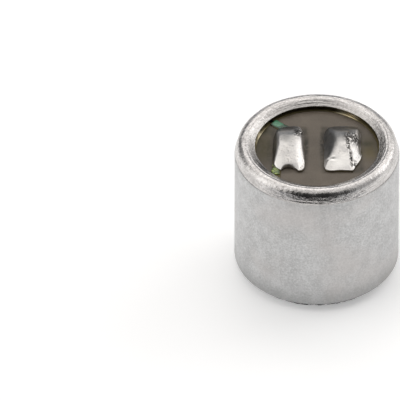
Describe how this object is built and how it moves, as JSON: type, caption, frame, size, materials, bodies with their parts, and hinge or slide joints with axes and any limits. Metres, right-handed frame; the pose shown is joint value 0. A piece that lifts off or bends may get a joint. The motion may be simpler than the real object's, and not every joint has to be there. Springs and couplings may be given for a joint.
{
  "type": "electret microphone capsule",
  "caption": "Small cylindrical electret microphone capsule: drawn metal can with a rolled rim over a round circuit board with raised solder terminals, and a felt-covered front face.",
  "frame": {"origin": "centre of the felt's outer face, on the can's axis, which is the surface that the capsule stands on", "axes": "+Z along the can's axis from the felt face to the solder terminals, +X from the earth terminal to the output terminal, +Y away from the viewer"},
  "size_m": [0.006, 0.006, 0.0057],
  "materials": {
    "aluminium_can": "satin drawn aluminium",
    "black_felt": "black non-woven felt",
    "brass": "bright brass",
    "metallised_film": "film with a thin metal coat",
    "clear_polyester": "smooth polyester",
    "fluoropolymer_film": "smooth film",
    "ivory_plastic": "moulded plastic",
    "board_laminate": "brown lacquered laminate",
    "plated_copper": "thin gold plate on copper",
    "green_mask": "glossy green solder mask",
    "black_epoxy": "moulded epoxy",
    "tinned_lead": "matt tin plate",
    "brown_ceramic": "fired ceramic",
    "solder": "bright solder with flux marks"
  },
  "bodies": {
    "root": {"case": "aluminium_can", "dust_felt": "black_felt", "diaphragm_ring": "brass", "diaphragm_film": "metallised_film", "spacer_ring": "clear_polyester", "electret_film": "fluoropolymer_film", "back_plate": "brass", "plate_holder": "ivory_plastic", "gate_ring": "brass", "circuit_board": "board_laminate", "earth_land": "plated_copper", "output_land": "plated_copper", "track_mask": "green_mask", "gate_land": "plated_copper", "source_land": "plated_copper", "drain_land": "plated_copper", "plated_holes": "plated_copper", "transistor_body": "black_epoxy", "gate_lead": "tinned_lead", "source_lead": "tinned_lead", "drain_lead": "tinned_lead", "capacitor_body": "brown_ceramic", "capacitor_bands": "tinned_lead", "joint_solder": "solder", "earth_solder": "solder", "output_solder": "solder"}
  },
  "joints": []
}
